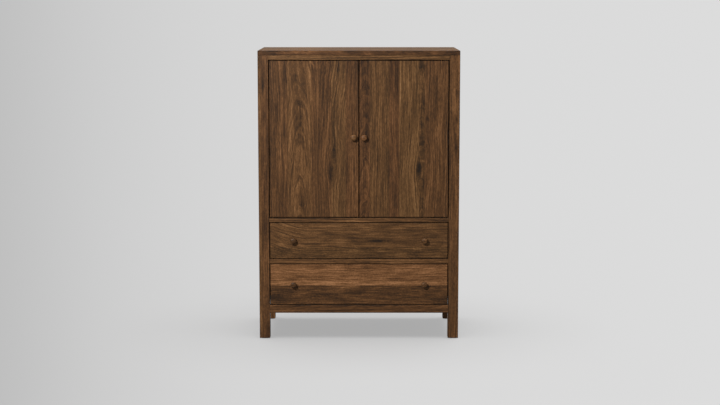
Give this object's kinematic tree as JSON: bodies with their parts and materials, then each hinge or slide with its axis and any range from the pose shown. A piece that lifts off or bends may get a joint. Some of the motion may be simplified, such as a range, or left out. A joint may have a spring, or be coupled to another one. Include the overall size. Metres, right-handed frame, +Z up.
{
  "type": "tv armoire",
  "caption": "Walnut armoire with hinged doors over a television compartment and shelf, drawers on telescopic slides below, turned knobs and square post legs.",
  "frame": {"origin": "on the floor, under the middle of the whole outline with the knobs", "axes": "+Z up, the doors face -Y, +X to the right for a viewer in front"},
  "size_m": [1.016, 0.558, 1.47],
  "materials": {
    "walnut": "oiled satin",
    "maple": "clear satin lacquer",
    "brass": "darkened satin",
    "steel": "black zinc plated",
    "nylon": "matt",
    "catch_plastic": "matt"
  },
  "bodies": {
    "case": {"bottom_front_rail": "walnut", "compartment_floor": "walnut", "door_catches": "catch_plastic", "door_rail": "walnut", "drawer_rail": "walnut", "floor_cleats": "maple", "foot_glides": "nylon", "front_left_post": "walnut", "front_right_post": "walnut", "hinge_case_leaves": "brass", "left_bottom_side_rail": "walnut", "left_side_panel": "walnut", "left_top_side_rail": "walnut", "lower_back_panel": "walnut", "lower_left_slide_cleat": "maple", "lower_right_slide_cleat": "maple", "lower_slide_outer_members": "steel", "rear_bottom_rail": "walnut", "rear_left_post": "walnut", "rear_middle_rail": "walnut", "rear_right_post": "walnut", "rear_top_rail": "walnut", "right_bottom_side_rail": "walnut", "right_side_panel": "walnut", "right_top_side_rail": "walnut", "shelf": "walnut", "shelf_cleats": "walnut", "top_front_rail": "walnut", "top_panel": "walnut", "upper_back_panel": "walnut", "upper_left_slide_cleat": "maple", "upper_right_slide_cleat": "maple", "upper_slide_outer_members": "steel"},
    "left_door": {"left_door": "walnut", "left_door_knob": "walnut", "left_hinge_door_leaves": "brass", "left_strike_plate": "steel"},
    "right_door": {"right_door": "walnut", "right_door_knob": "walnut", "right_hinge_door_leaves": "brass", "right_strike_plate": "steel"},
    "upper_drawer": {"upper_drawer_front": "walnut", "upper_drawer_knobs": "walnut", "upper_drawer_box_front": "maple", "upper_drawer_back": "maple", "upper_drawer_bottom": "maple", "upper_drawer_left_side": "maple", "upper_drawer_right_side": "maple", "upper_slide_inner_members": "steel"},
    "lower_drawer": {"lower_drawer_front": "walnut", "lower_drawer_knobs": "walnut", "lower_drawer_box_front": "maple", "lower_drawer_back": "maple", "lower_drawer_bottom": "maple", "lower_drawer_left_side": "maple", "lower_drawer_right_side": "maple", "lower_slide_inner_members": "steel"},
    "upper_slide_middles": {"upper_slide_middle_members": "steel"},
    "lower_slide_middles": {"lower_slide_middle_members": "steel"}
  },
  "joints": [
    {"name": "left_door_hinge", "type": "hinge", "parent": "case", "child": "left_door", "pos_m": [-0.4355, -0.244, 1.0245], "axis": [0, 0, -1], "range_deg": [0, 110]},
    {"name": "right_door_hinge", "type": "hinge", "parent": "case", "child": "right_door", "pos_m": [0.4355, -0.244, 1.0245], "axis": [0, 0, 1], "range_deg": [0, 110]},
    {"name": "upper_drawer_slide", "type": "slide", "parent": "case", "child": "upper_drawer", "axis": [0, -1, 0], "range_m": [0, 0.45]},
    {"name": "upper_slide_middle_travel", "type": "slide", "parent": "case", "child": "upper_slide_middles", "axis": [0, -1, 0], "range_m": [0, 0.225]},
    {"name": "lower_drawer_slide", "type": "slide", "parent": "case", "child": "lower_drawer", "axis": [0, -1, 0], "range_m": [0, 0.45]},
    {"name": "lower_slide_middle_travel", "type": "slide", "parent": "case", "child": "lower_slide_middles", "axis": [0, -1, 0], "range_m": [0, 0.225]}
  ],
  "couplings": [
    {"joint": "upper_slide_middle_travel", "follows": "upper_drawer_slide", "ratio": 0.5},
    {"joint": "lower_slide_middle_travel", "follows": "lower_drawer_slide", "ratio": 0.5}
  ]
}
